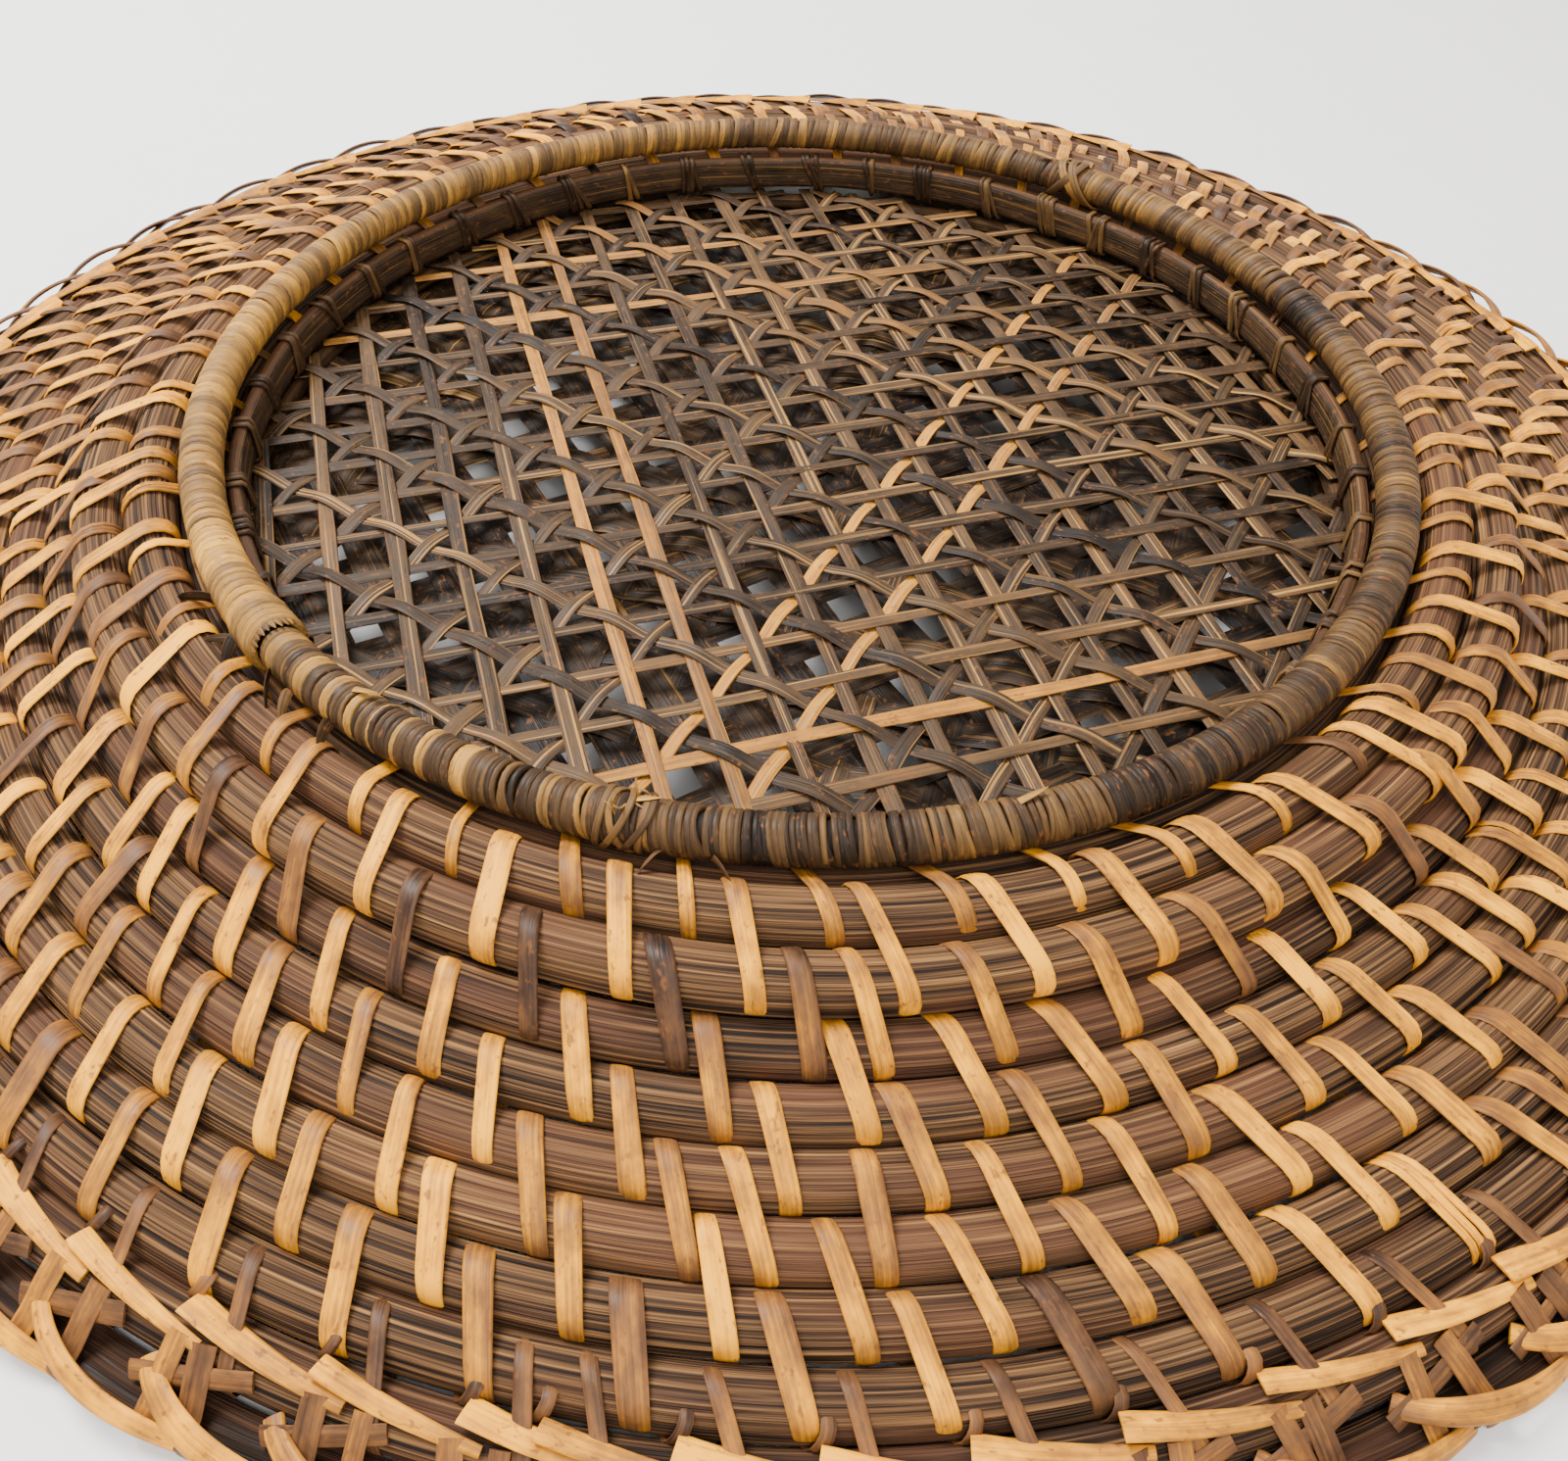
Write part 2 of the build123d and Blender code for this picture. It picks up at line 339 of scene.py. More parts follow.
def rod(name, index, stations=560, sides=48):
    """A rattan hoop with ridges along it, which drift and fade as a fibre does."""
    r, z, section = RODS[index]
    random = np.random.default_rng(100 + index)
    angle = np.linspace(0, TURN, stations, endpoint=False)
    around = np.linspace(0, TURN, sides, endpoint=False)
    wander = np.zeros((stations, sides))
    for ridges in (9, 14, 21, 23):
        slow = random.integers(1, 6)
        drift = 0.5 * np.sin(slow * angle + random.uniform(0, TURN)) + random.uniform(0, TURN)
        strength = 0.6 + 0.4 * np.sin(random.integers(4, 12) * angle + random.uniform(0, TURN))
        wander += strength[:, None] * np.sin(ridges * around[None] + drift[:, None])
    depth = np.clip(0.5 - wander / 3.2, 0, 1)
    swell = 1 + 0.012 * np.sin(7 * angle + index) + 0.010 * np.sin(13 * angle + 2 * index)
    radius = section * swell[:, None] + squeeze(index, around) - 0.22 * MM * depth**2
    outline = np.stack([-radius * np.cos(around), radius * np.sin(around)], -1)
    wobble = 0.25 * MM * np.sin(5 * angle + index) + 0.15 * MM * np.sin(11 * angle + 3 * index)
    path = round_point(r + wobble, angle, z + 0.5 * wobble)
    upward = np.broadcast_to([0.0, 0.0, 1.0], path.shape)
    weave = Weave()
    weave.sweep(path, upward, outline, ROD_TONES_AND_SHADE[index], random.uniform(), closed=True, third=depth)
    made = weave.build(name, MATERIALS["rattan_rod"])
    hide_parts(ROD_NODES[index])


# each rod's tone; rod 3, recessed under rod 2, and the rim rod, seen between the border strips, are dark
# as painted shade
ROD_TONES_AND_SHADE = (0.0, 0.26, 0.30, 0.0, 0.22, 0.24, 0.30, 0.26, 0.12, 0.02)


# Stitches

def loop_round(inner, outer, lift, bulge):
    """A band's route round two rod sections: (radius, height) points and outward normals.

    It runs from under the inner rod, round it and over the top, and back under the outer rod.
    """
    (r1, z1, s1), (r2, z2, s2) = inner, outer
    slope = atan2(z2 - z1, r2 - r1)
    ahead, out = np.array([cos(slope), sin(slope)]), np.array([-sin(slope), cos(slope)])
    turns = [(r1, z1, s1, phi) for phi in np.linspace(1.5, 0.5, 9) * pi]
    turns += [(r2, z2, s2, phi) for phi in np.linspace(0.5, -0.5, 9) * pi]
    normals = np.array([cos(phi) * ahead + sin(phi) * out for _, _, _, phi in turns])
    places = np.array([(r, z) for r, z, _, _ in turns])
    places = places + normals * np.array([s + lift for _, _, s, _ in turns])[:, None]
    middle = [places[8] + (places[9] - places[8]) * share for share in (0.25, 0.5, 0.75)]
    places = np.concatenate([places[:9], middle, places[9:]])
    normals = np.concatenate([normals[:9], [out] * 3, normals[9:]])
    over = np.clip((np.arange(len(places)) - 3) / 14, 0, 1)
    places = places + bulge * np.sin(pi * over)[:, None] * out
    return places, normals


def stitch(weave, inner, outer, angle, random, tone, width, lean, thick, bulge):
    """One cane loop round two neighbouring rods, leaning along them."""
    places, normals = loop_round(inner, outer, GAP + thick / 2, bulge)
    reach = places[:, 0].max() - places[:, 0].min()
    shift = lean * (places[:, 0] - places[:, 0].mean()) / reach
    turned = angle + shift / places[:, 0]
    path = round_point(places[:, 0], turned, places[:, 1])
    up = round_point(normals[:, 0], turned, normals[:, 1])
    taper = 1 + 0.08 * np.sin(np.linspace(0, TURN, len(path), endpoint=False) + random.uniform(0, TURN))
    outline = flat_outline(width, thick, 0.18 * thick) * np.stack([taper, 1 + 0 * taper], -1)[:, None]
    weave.sweep(path, up, outline, tone, random.uniform(), closed=True)


GAP = 0.08 * MM
# usual tone, its spread, and the least and greatest width in mm, where a row's stitches differ
STITCH_LOOKS = {0: (0.72, 0.10, 2.2, 3.2), 2: (0.60, 0.12, 3.0, 3.8), 7: (0.74, 0.07, 3.4, 4.4),
                RIM_PAIR: (0.42, 0.04, 2.0, 2.6)}


def stitches(number):
    """All the cane loops that join one pair of neighbouring rods.

    A twentieth of them are dark, a fifth darken towards one end and a twentieth are split in three.
    """
    inner, outer = RODS[number], RODS[number + 1]
    node = f"stitches_{number}_to_{'rim' if number == RIM_PAIR else number + 1}"
    random = np.random.default_rng(200 + number)
    weave = Weave()
    usual, spread, narrow, wide = STITCH_LOOKS.get(number, (0.84, 0.08, 3.0, 4.1))
    for x, y, _ in islands(node):
        width = random.uniform(narrow, wide) * MM
        lean = (6 + random.normal(0, 1.0)) * MM
        angle = atan2(y, x) + random.normal(0, 0.5) * MM / inner[0]
        tone = random.normal(usual, spread) + random.normal(0, 0.07, 6)
        kind = random.uniform()
        # each loop darkens towards both ends, where it dives between the rods: partly painted shade,
        # partly the cane's own browner ends
        tone -= np.array([0.2, 0.12, 0.0, 0.0, 0.14, 0.2])
        if kind < 0.05:
            tone -= random.uniform(0.25, 0.5)
        elif kind < 0.24:
            tone -= np.linspace(0, random.uniform(-0.5, 0.5), 6).clip(0) + 0.05
        thick, bulge = random.uniform(0.4, 0.6) * MM, random.uniform(0.05, 0.5) * MM
        if number == RIM_PAIR:
            thick, bulge = 0.3 * MM, 0.0
        parts = 3 if kind > 0.95 else 1
        for part in range(parts):
            beside = (part - (parts - 1) / 2) * width / parts * 1.05 / inner[0]
            stitch(weave, inner, outer, angle + beside, random, np.clip(tone, 0, 1), width / parts,
                   lean + random.normal(0, 0.4) * MM * (parts - 1), thick, bulge)
    made = weave.build(node + "_cane", MATERIALS["stitch_cane"])
    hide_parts(node)


# Foot ring

SPLICE, KNOT, CROSS = -135.0, -101.0, 55.0  # degrees round the ring


def ring_track(angle, phi, radius):
    """A point on the foot ring's tube, phi round its section from the outside over the top."""
    return round_point(RING_R + radius * np.cos(phi), angle, RING_Z + radius * np.sin(phi))


def winding(weave, angle, radius, width, thick, lean, tone, seed, steps=18):
    """One closed turn of cane round the ring's tube; lean is how far its top runs along the ring."""
    phi = np.linspace(TURN, 0, steps, endpoint=False)
    turned = angle + lean * np.sin(phi) / RING_R
    path = ring_track(turned, phi, radius)
    up = path - ring_track(turned, phi, 0.0)
    weave.sweep(path, up, flat_outline(width, thick, 0.1 * thick, 7), tone, seed, closed=True)


def ring_look_and_light(degree):
    """(tone, pitch in mm, banding) of the winding at a place round the ring, in degrees; the tone holds
    painted light, golden at the back left and dark at the front right as painted shade.
    """
    places = (-180, -145, -136, -130, -104, -98, -70, -20, 30, 60, 100, 140, 180)
    tones = (0.8, 0.78, 0.68, 0.42, 0.38, 0.3, 0.27, 0.3, 0.4, 0.46, 0.54, 0.66, 0.8)
    pitches = (1.5, 1.6, 1.5, 0.85, 0.85, 0.9, 0.9, 1.0, 1.2, 1.3, 1.4, 1.5, 1.5)
    bands = (0, 0, 0.1, 0.28, 0.28, 0.14, 0.1, 0.06, 0.08, 0.1, 0.1, 0.06, 0)
    return [float(np.interp(degree, places, row)) for row in (tones, pitches, bands)]


def ring_windings():
    """Fine cane wound closely round the whole ring, its tone painted golden at the left, where the light
    falls, and dark at the front right, as painted shade.
    """
    random = np.random.default_rng(300)
    weave = Weave()
    place = SPLICE + 0.9
    drift = 0.0
    band_length, degree_length = 6.2, 2.18  # mm along the ring
    while place < SPLICE + 360:
        degree = (place + 180) % 360 - 180
        tone, pitch, band = ring_look_and_light(degree)
        drift = 0.85 * drift + random.normal(0, 0.05)
        wave = sin(TURN * place * degree_length / band_length + 2 * sin(place * 0.31))
        swollen = 0.8 * max(0.0, 1 - (SPLICE + 360 - place) / 16)
        thick = random.uniform(0.7, 0.95) * MM * (1 + 0.3 * swollen)
        stripe = band if wave > 0.6 else -0.3 * band
        tone = np.clip(tone + drift + stripe + random.normal(0, 0.06), 0, 1)
        thin = 0.35 + 0.25 * sin(radians(place))
        radius = WRAP_R - thick / 2 + (random.normal(0, 0.04) + swollen - thin) * MM
        width = pitch * random.uniform(1.15, 1.5) * MM
        lean = random.normal(-0.8, 0.35) * MM
        winding(weave, radians(place), radius, width, thick, lean, tone, random.uniform())
        place += np.degrees(pitch * MM * random.uniform(0.85, 1.1) / RING_R)
    made = weave.build("foot_ring_windings", MATERIALS["wrap_cane"])
    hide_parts("foot_ring_wrap")


def sliver(weave, points, width, thick, tone, seed, up=(0, 0, 1), steps=14, twist=0.0):
    """A loose strip through a few points, tapering at its far end, turning over by twist."""
    points = np.array(points, float)
    knots = np.linspace(0, 1, len(points))
    share = np.linspace(0, 1, steps)
    smooth = np.stack([np.interp(share, knots, points[:, axis]) for axis in range(3)], 1)
    for _ in range(3):
        smooth[1:-1] = (smooth[:-2] + 2 * smooth[1:-1] + smooth[2:]) / 4
    up = np.broadcast_to(np.array(up, float), smooth.shape)
    across, _ = frames(smooth, up)
    turned = up * np.cos(twist * share)[:, None] + across * np.sin(twist * share)[:, None]
    taper = np.clip(1.15 - share**3, 0.15, 1)[:, None, None] * np.ones((1, 1, 2))
    weave.sweep(smooth, turned, flat_outline(width, thick, 0.0, 4) * taper, tone, seed)


def on_ring(degree, phi, radius):
    """One point on the ring's tube, both angles in degrees."""
    return ring_track(np.array([radians(degree)]), np.radians([phi]), radius)[0]


def sheath(weave, random):
    """The squared sheath where the wrap ends: thick turns, and the cut ends of cane along the ring."""
    for number in range(5):
        place = radians(SPLICE - 3.4 + number * 0.72)
        winding(weave, place, WRAP_R + 0.55 * MM, 1.9 * MM, 0.9 * MM, -0.9 * MM,
                0.7 + random.normal(0, 0.06), random.uniform())
    foot = SPLICE - 2.4
    for number in range(28):
        phi = 10 + number * 13
        tip = SPLICE + random.uniform(0.2, 0.5)
        start, end = on_ring(foot, phi, WRAP_R + 0.7 * MM), on_ring(tip, phi + 3, WRAP_R + 0.6 * MM)
        up = start - on_ring(foot, phi, 0)
        tone = random.uniform(0.45, 0.7)
        sliver(weave, [start, end], 1.5 * MM, 0.4 * MM, tone, random.uniform(), up, 4)


def knot(weave, random):
    """A knot of crossing turns with frayed ends."""
    turns = ((-0.9, 2.6), (-0.2, -2.2), (0.5, 3.0), (1.2, 0.4), (-1.8, 0.5))
    for degree, lean in turns:
        radius = WRAP_R + random.uniform(0.1, 0.5) * MM
        winding(weave, radians(KNOT + degree), radius, 1.2 * MM, 0.6 * MM, lean * MM,
                random.uniform(0.3, 0.75), random.uniform())
    for number in range(7):
        base = on_ring(KNOT - 0.6 + 0.3 * number, 60 + 12 * number, WRAP_R + 0.3 * MM)
        spread = random.normal(0, 1.6, 3) * MM
        tip = base + spread + (np.array([0, -0.2, 1]) * random.uniform(1, 3)) * MM
        middle = (base + tip) / 2 + random.normal(0, 0.4, 3) * MM
        sliver(weave, [base, middle, tip], 0.5 * MM, 0.2 * MM, 0.7, random.uniform(), steps=8)


def crossing_tie(weave, random):
    """Three broad turns that cross on top of the ring."""
    for degree, lean in ((-1.0, 4.5), (0.2, 5.0), (1.6, -4.0)):
        radius = WRAP_R + random.uniform(0.2, 0.5) * MM
        winding(weave, radians(CROSS + degree), radius, 2.2 * MM, 0.6 * MM, lean * MM,
                random.uniform(0.4, 0.7), random.uniform())


def lifted_ends(weave, random):
    """Short cut ends that stand up from the ring's wrap."""
    for degree, reach in ((SPLICE + 10, 3.5), (-101, 2.0), (-73, 2.5), (CROSS + 4, 2.5)):
        base = on_ring(degree, 100, WRAP_R + 0.1 * MM)
        tip = on_ring(degree + 2.4, 108, WRAP_R + reach * 0.5 * MM)
        sliver(weave, [base, (base + tip) / 2, tip], 1.3 * MM, 0.3 * MM, 0.75, random.uniform(),
               steps=8, twist=0.6)


def ring_splices():
    """Everything that interrupts the ring's wrap: sheath, knot, crossing tie and lifted ends."""
    random = np.random.default_rng(301)
    weave = Weave()
    for add in (sheath, knot, crossing_tie, lifted_ends):
        add(weave, random)
    made = weave.build("foot_ring_splices", MATERIALS["wrap_cane"])
    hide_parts("foot_ring_end_ties")


def loose_ends():
    """Broken cane that hangs out below the ring's splice and between the rods."""
    random = np.random.default_rng(302)
    weave = Weave()
    # degree, how far it runs along the ring in mm, tone and width in mm
    ends = (
        (SPLICE - 4, 7, 0.15, 2.4), (SPLICE - 2, -6, 0.3, 1.6), (SPLICE + 1, 9, 0.25, 2.0),
        (SPLICE + 4, 6, 0.5, 1.8), (SPLICE + 9, 4, 0.3, 2.2), (SPLICE - 8, -5, 0.2, 2.6),
        (-95, 5, 0.45, 1.6), (-98, -3, 0.4, 1.2),
    )
    r0, z0 = RING_R + 3 * MM, RING_Z - 1 * MM
    rod_r, rod_z, rod_section = RODS[1]
    r1, fall = rod_r - 1 * MM, RING_Z - rod_z - rod_section
    for degree, run, tone, width in ends:
        turn = run * MM / RING_R
        points = []
        for share in (0, 0.35, 0.7, 1.0):
            z = z0 - share * fall + 1.6 * MM * sin(pi * share)
            angle = np.array([radians(degree) + turn * share])
            points.append(round_point(r0 + (r1 - r0) * share, angle, z)[0])
        up = points[1] - np.array([points[1][0], points[1][1], 0]) * 0.6 + np.array([0, 0, 0.05])
        seed, twist = random.uniform(), random.uniform(-0.8, 0.8)
        sliver(weave, points, width * MM, 0.35 * MM, tone, seed, up, 16, twist)
    made = weave.build("loose_cane_ends", MATERIALS["wrap_cane"])


# Base: slat hoops, their ties and two woven panels

def band_of(node):
    """A rectangular hoop's (inner radius, outer radius, bottom, top)."""
    low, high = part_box(node)
    radii = [hypot(v.co.x, v.co.y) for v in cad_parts[node].data.vertices]
    return min(radii), max(radii), low.z, high.z


def flat_hoop(node, tone, seed, slot, inward=0.0):
    """A bent slat with rounded edges, slightly uneven, in place of a rectangular hoop.

    inward is how much further in it reaches than the hoop.
    """
    r_in, r_out, bottom, top = band_of(node)
    r_in -= inward
    angle = np.linspace(0, TURN, 300, endpoint=False)
    wave = 0.15 * MM * np.sin(9 * angle + 7 * seed) + 0.1 * MM * np.sin(17 * angle + 3 * seed)
    path = round_point((r_in + r_out) / 2 + wave, angle, (bottom + top) / 2 + 0.5 * wave)
    weave = Weave()
    outline = flat_outline(top - bottom, r_out - r_in, 0.0, 12)
    weave.sweep(path, round_point(-1.0, angle, 0.0), outline, tone, seed, closed=True)
    made = weave.build(node + "_grained", MATERIALS[slot])
    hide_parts(node)


def slat_ties():
    """Short turns of dark cane round the slat hoop, two to four strands to a tie."""
    random = np.random.default_rng(400)
    r_in, r_out, bottom, top = band_of("base_slat_hoop")
    middle_r, middle_z = (r_in + r_out) / 2, (bottom + top) / 2
    phi = np.linspace(TURN, 0, 20, endpoint=False)
    corner = np.abs(np.cos(phi)) ** 8 + np.abs(np.sin(phi)) ** 8
    square_x, square_z = np.cos(phi) / corner**0.125, np.sin(phi) / corner**0.125
    weave = Weave()
    for x, y, _ in islands("base_slat_ties"):
        middle, tone = atan2(y, x) + random.normal(0, 0.006), random.uniform(0.15, 0.5)
        for strand in range(random.integers(2, 5)):
            lean = random.normal(0.8, 0.9) * MM
            clear = random.uniform(0.35, 0.6) * MM
            r = middle_r + square_x * ((r_out - r_in) / 2 + clear)
            z = middle_z + square_z * ((top - bottom) / 2 + clear)
            angle = middle + (strand - 1.3) * 1.25 * MM / middle_r + lean * square_z / middle_r
            path = round_point(r, angle, z)
            up = round_point(np.cos(phi), angle, np.sin(phi))
            outline = flat_outline(random.uniform(1.1, 1.6) * MM, 0.4 * MM, 0.15 * MM, 4)
            weave.sweep(path, up, outline, tone + random.normal(0, 0.06), random.uniform(), closed=True)
    made = weave.build("base_slat_tie_strands", MATERIALS["wrap_cane"])
    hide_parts("base_slat_ties")


# each set of strands and its least and greatest width in mm
STRAND_WIDTHS = {
    "upright": (2.9, 3.6), "cross": (2.4, 3.3),
    "first_diagonal": (2.6, 3.3), "second_diagonal": (2.5, 3.2),
}


def strand_lines(node):
    """A woven layer's normal, towards +Y, and its strands' distances along it, from their middles."""
    middles = np.array(islands(node))[:, :2]
    far = middles[np.argmax(np.hypot(*middles.T))]
    normal = far / hypot(*far) * np.sign(far[1])
    return normal, sorted(middles @ normal)


def woven_panel(prefix, name, tones, steps, points, seed, widen=1.0):
    """Four sets of strands.

    The upright and cross strands make the square lattice. The cross strands lie over the upright
    ones in one half and under them in the other. The first diagonals arch over the crossings, the
    second pass under them, and between crossings the second lie over the first. widen is how many
    times the usual width the strands have.
    """
    nodes = {kind: f"{prefix}_{kind}_strands" for kind in STRAND_WIDTHS}
    lines = {kind: strand_lines(node) for kind, node in nodes.items()}
    lows, highs = zip(*(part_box(node) for node in nodes.values()))
    level = (min(low.z for low in lows) + max(high.z for high in highs)) / 2
    reach = band_of("base_slat_hoop")[1] - 0.3 * MM
    upright_normal, uprights = lines["upright"]
    pitch = uprights[1] - uprights[0]
    random = np.random.default_rng(seed)
    for kind, (normal, offsets) in lines.items():
        weave = Weave()
        for offset in offsets:
            half = sqrt(max(reach**2 - (abs(offset) + 1.6 * MM) ** 2, 0))
            t = np.linspace(-half, half, max(8, int(2 * half / steps)))
            sway = random.uniform(0.1, 0.35) * MM
            sway = sway * np.sin(t * random.uniform(30, 70) + random.uniform(0, TURN))
            flat = np.outer(offset + sway, normal) + np.outer(t, [-normal[1], normal[0]])
            wave = np.cos(TURN * (flat @ upright_normal - uprights[0]) / pitch)
            side = np.tanh(flat[:, 0] / (20 * MM))
            height = {
                "upright": -0.28 * side, "cross": 0.28 * side,
                "first_diagonal": 0.45 + 0.75 * wave, "second_diagonal": -0.45 - 0.75 * wave,
            }[kind] * MM
            path = np.column_stack([flat, level + height + random.normal(0, 0.05) * MM])
            up = np.tile([0.0, 0.0, 1.0], (len(t), 1))
            tilt = 0.10 * np.sin(t * 55 + random.uniform(0, TURN))
            up[:, :2] += np.outer(tilt, normal)
            low, high = STRAND_WIDTHS[kind]
            width = random.uniform(low, high) * widen * MM
            outline = flat_outline(width, 0.38 * MM, 0.06 * MM, points)
            outline[1:points - 1, 1] += random.normal(0, 0.05 * MM, points - 2)
            swell = 1 + 0.10 * np.sin(t * random.uniform(60, 140) + random.uniform(0, TURN))
            shaped = outline * np.stack([swell, np.ones_like(swell)], -1)[:, None]
            weave.sweep(path, up, shaped, strand_tone(kind, offset, tones, random), random.uniform())
        made = weave.build(f"{name}_{kind}", MATERIALS["woven_cane"])
        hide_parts(nodes[kind])


def strand_tone(kind, offset, tones, random):
    """Most strands are dark; a few, named by their place in the lattice, are golden."""
    for place, tone in tones.get(kind, {}).items():
        if abs(offset - place * MM) < 3 * MM:
            return np.clip(np.array(tone) + random.normal(0, 0.03, len(tone)), 0, 1)
    low, high = tones["usual"]
    return np.clip(random.uniform(low, high) + random.normal(0, 0.06, 7), 0, 1)


# Border

def running_strip(weave, start, pitch, tone, random):
    """A golden strip: it starts with a lifted end beside a stitch's foot and goes over the rim rod."""
    r, z, section = RODS[-1]
    share = BORDER_STEPS
    turned = start + pitch * random.uniform(1.25, 1.4) * share
    phi = np.radians(random.uniform(108, 118) - 42 * share)
    lift = section + (0.5 + 1.3 * np.exp(-((share / 0.35) ** 2))) * MM
    path = round_point(r + lift * np.cos(phi), turned, z + lift * np.sin(phi))
    width = random.uniform(3.7, 4.6) * MM * (1 - 0.55 * share)
    outline = np.stack([flat_outline(w, 0.55 * MM, 0.12 * MM, 6) for w in width])
    tones = [tone + 0.12, tone, tone - 0.08, tone - 0.3]
    weave.sweep(path, round_point(np.cos(phi), turned, np.sin(phi)), outline, tones, random.uniform())


def hook(weave, start, random):
    """A small brown loop that holds a stitch's foot."""
    r, z, section = RODS[-2]
    phi = np.linspace(TURN, 0, 14, endpoint=False)
    turned = start + (random.normal(-0.5, 0.5) + 1.4 * np.sin(phi)) * MM / r
    loop_r, loop_z = r + section * 0.8 + 2.3 * MM * np.cos(phi), z + 0.8 * MM + 2.5 * MM * np.sin(phi)
    outline = flat_outline(random.uniform(1.5, 2.3) * MM, 0.5 * MM, 0.1 * MM, 4)
    up = round_point(np.cos(phi), turned, np.sin(phi))
    tone = random.uniform(0.25, 0.5)
    weave.sweep(round_point(loop_r, turned, loop_z), up, outline, tone, random.uniform(), closed=True)


def returning_strip(weave, start, pitch, edge_r, edge_top, random):
    """A brown strip that comes back inwards over the tail of the golden one."""
    _, rim_z, section = RODS[-1]
    share = BORDER_STEPS
    turned = start + pitch * (random.uniform(0.82, 0.92) + random.uniform(0.8, 0.95) * share)
    r = edge_r - 4.6 * MM - 4.6 * MM * share
    z = edge_top + 1.6 * MM + (rim_z + section - edge_top - 2.0 * MM) * share**0.8
    outline = flat_outline(random.uniform(2.6, 3.4) * MM, 0.5 * MM, 0.08 * MM, 5)
    up = round_point(0.8, turned, 1.0 + 0 * share)
    tone = random.uniform(0.28, 0.46)
    weave.sweep(round_point(r, turned, z), up, outline, tone, random.uniform())


def standing_strip(weave, start, pitch, place, edge_r, edge_top, random):
    """A short strip across the border, down to the edge hoop and round it."""
    rim_r, rim_z, section = RODS[-1]
    share = BORDER_STEPS
    lean = random.normal(0.8, 0.8) * MM / edge_r
    bends = (0, 0.3, 0.6, 0.85, 1)
    rs = (rim_r + 1 * MM, rim_r + section + 0.6 * MM, edge_r - 3.4 * MM,
          edge_r + 0.4 * MM, edge_r + 0.5 * MM)
    zs = (rim_z + section + 0.7 * MM, rim_z + 2.6 * MM, edge_top + 1.5 * MM,
          edge_top - 0.4 * MM, 0.9 * MM)
    turned = start + pitch * (place + random.uniform(0, 0.2)) + lean * (2 * share - 1)
    outward = np.interp(share, (0, 0.6, 0.85, 1), (0.3, 0.5, 1.0, 1.0))
    path = round_point(np.interp(share, bends, rs), turned, np.interp(share, bends, zs))
    outline = flat_outline(random.uniform(2.6, 4.0) * MM, 0.5 * MM, 0.08 * MM, 5)
    up = round_point(outward, turned, 1.05 - outward)
    tone = random.uniform(0.36, 0.68)
    weave.sweep(path, up, outline, tone, random.uniform())


def arch(weave, start, pitch, edge_r, edge_top, tone, random):
    """The golden strip comes up again as an arch on the edge, outside the next one's start."""
    share = BORDER_STEPS
    # painted shade: the arches on the far side, towards +Y, are made darker, as if lit from behind
    dark = 0.5 * np.clip(sin(start), 0, 1)
    turned = start + pitch * (random.uniform(0.9, 1.0) + random.uniform(1.5, 1.65) * share)
    swing = np.sin(pi * share**0.9)
    r = edge_r - 7.0 * MM + 6.5 * MM * share**0.6 + random.uniform(2.2, 3.2) * MM * swing
    z = edge_top + 2.2 * MM + random.uniform(0.8, 1.7) * MM * swing - 3.6 * MM * share**2
    width = random.uniform(3.2, 4.2) * MM * (0.75 + 0.25 * np.sin(pi * share))
    outline = np.stack([flat_outline(w, 0.9 * MM, 0.2 * MM, 6) for w in width])
    up = round_point(0.3 + 0.9 * share, turned, 1.0)
    tones = np.array([tone - 0.1, tone + 0.06, tone, tone - 0.2]) - dark
    weave.sweep(round_point(r, turned, z), up, outline, tones, random.uniform())


BORDER_STEPS = np.linspace(0, 1, 24)  # shares of a border strip's length


def border():
    """The border: for each stitch of the last row, one of each strip that makes it up."""
    random = np.random.default_rng(500)
    _, edge_r, _, edge_top = band_of("border_edge_hoop")
    middles = [atan2(y, x) for x, y, _ in islands("stitches_8_to_rim")]
    pitch = TURN / len(middles)
    hooks, strands, crossings, arches = Weave(), Weave(), Weave(), Weave()
    for middle in middles:
        start = middle - 6.5 * MM / RODS[-2][0]
        tone = random.uniform(0.62, 0.86)
        running_strip(strands, start, pitch, tone, random)
        hook(hooks, start, random)
        returning_strip(crossings, start, pitch, edge_r, edge_top, random)
        for place in (0.3, 1.02):
            standing_strip(crossings, start, pitch, place, edge_r, edge_top, random)
        arch(arches, start, pitch, edge_r, edge_top, tone, random)
    pieces = (
        (strands, "border_running_strands", "border_strands"),
        (arches, "border_edge_arches", "border_edge_strips"),
        (hooks, "border_hooks", None),
        (crossings, "border_cross_strips", None),
    )
    for weave, name, node in pieces:
        made = weave.build(name, MATERIALS["border_cane"])
        if node:
            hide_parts(node)


# Camera, floor and light

def place_camera():
    """The camera stands in front of the basket, above the brim, and looks down at the foot ring."""
    yaw, pitch, roll = radians(-0.22), radians(47.95), radians(2.59)
    ahead = Vector((sin(yaw) * cos(pitch), cos(yaw) * cos(pitch), -sin(pitch)))
    right = Vector((cos(yaw), -sin(yaw), 0))
    up = right.cross(ahead)
    leaned_right = right * cos(roll) + up * sin(roll)
    leaned_up = up * cos(roll) - right * sin(roll)
    data = bpy.data.cameras.new("camera")
    data.lens, data.sensor_width, data.clip_start = 29.96, 36.0, 0.01
    camera = bpy.data.objects.new("camera", data)
    bpy.context.scene.collection.objects.link(camera)
    turn = Matrix((leaned_right, leaned_up, -ahead)).transposed()
    in_front, above_ring = 0.2473, 0.1607
    camera.matrix_world = Matrix.Translation((0, -in_front, RING_Z + above_ring)) @ turn.to_4x4()
    bpy.context.scene.camera = camera


